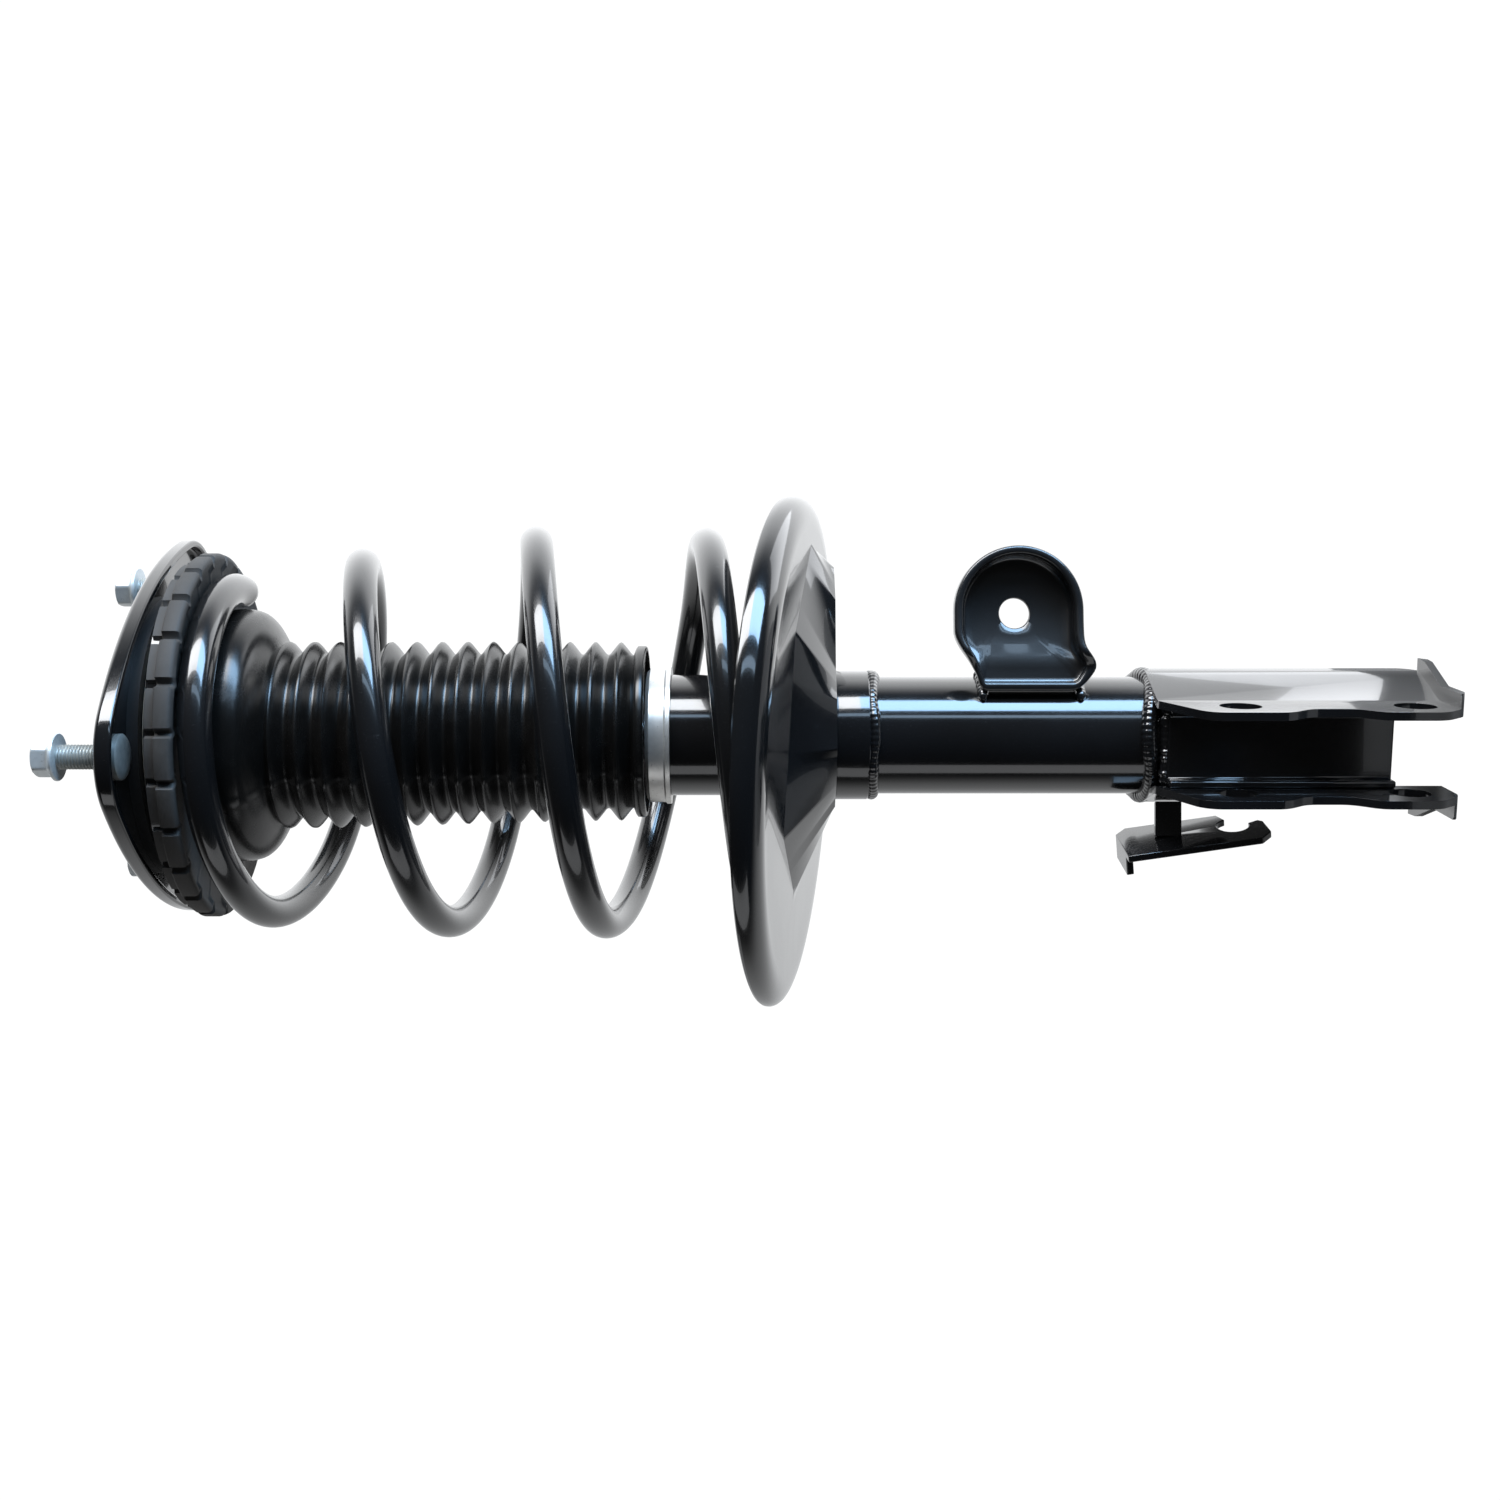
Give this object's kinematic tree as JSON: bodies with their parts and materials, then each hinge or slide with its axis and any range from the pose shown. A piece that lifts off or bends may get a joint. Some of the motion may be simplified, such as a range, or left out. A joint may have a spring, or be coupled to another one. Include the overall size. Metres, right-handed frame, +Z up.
{
  "type": "strut assembly",
  "caption": "Front suspension strut with coil spring, dust boot, studded top mount, dished spring seat, stabiliser link bracket and a clevis for the steering knuckle.",
  "frame": {"origin": "centre of the three top studs, on the upper face of the mount plate", "axes": "+Z up the damper axis, out of the top mount; the clevis ears open towards -Y; the stabiliser link bracket stands on the +X side"},
  "size_m": [0.2141, 0.2116, 0.5565],
  "materials": {
    "gloss_black_paint": "gloss",
    "spring_coat": "semi-gloss powder coat",
    "mount_rubber": "matte",
    "insulator_rubber": "matte",
    "boot_rubber": "satin",
    "zinc_plate": "zinc plated",
    "nut_zinc": "zinc plated",
    "bright_zinc": "bright rolled zinc",
    "hard_chrome": "polished",
    "bearing_steel": "ground",
    "sintered_iron": "sintered",
    "bearing_plastic": "matte",
    "cage_plastic": "matte",
    "foam_polyurethane": "matte"
  },
  "bodies": {
    "top_mount": {"mount_plate": "gloss_black_paint", "mount_rubber": "mount_rubber", "mount_core": "zinc_plate", "mount_studs": "zinc_plate", "stud_nuts": "nut_zinc", "rod_washer": "zinc_plate", "rod_nut": "nut_zinc", "upper_bearing_race": "bearing_plastic", "piston_rod": "hard_chrome", "bump_stop": "foam_polyurethane", "rebound_stop": "cage_plastic", "piston": "sintered_iron", "piston_band": "cage_plastic", "piston_nut": "nut_zinc"},
    "spring_top": {"lower_bearing_race": "bearing_plastic", "bearing_balls": "bearing_steel", "bearing_cage": "cage_plastic", "upper_spring_seat": "gloss_black_paint", "upper_insulator": "insulator_rubber", "dust_boot": "boot_rubber", "coil_spring": "spring_coat"},
    "damper": {"tube_cap": "bright_zinc", "rod_seal": "insulator_rubber", "rod_guide": "sintered_iron", "strut_tube": "gloss_black_paint", "inner_cylinder": "bearing_steel", "base_valve": "sintered_iron", "tube_end_cap": "gloss_black_paint", "lower_spring_seat": "gloss_black_paint", "lower_spring_pad": "insulator_rubber", "stabiliser_bracket": "gloss_black_paint", "knuckle_bracket": "gloss_black_paint", "knuckle_web": "gloss_black_paint", "hose_bracket": "gloss_black_paint"}
  },
  "joints": [
    {"name": "steer_swivel", "type": "hinge", "parent": "top_mount", "child": "spring_top", "pos_m": [0, 0, 0], "axis": [0, 0, 1], "continuous": true},
    {"name": "damper_stroke", "type": "slide", "parent": "spring_top", "child": "damper", "axis": [0, 0, 1], "range_m": [0, 0.12], "stiffness_N_per_m": 25000, "springref_m": -0.09, "deforming": ["coil_spring", "dust_boot"]}
  ]
}
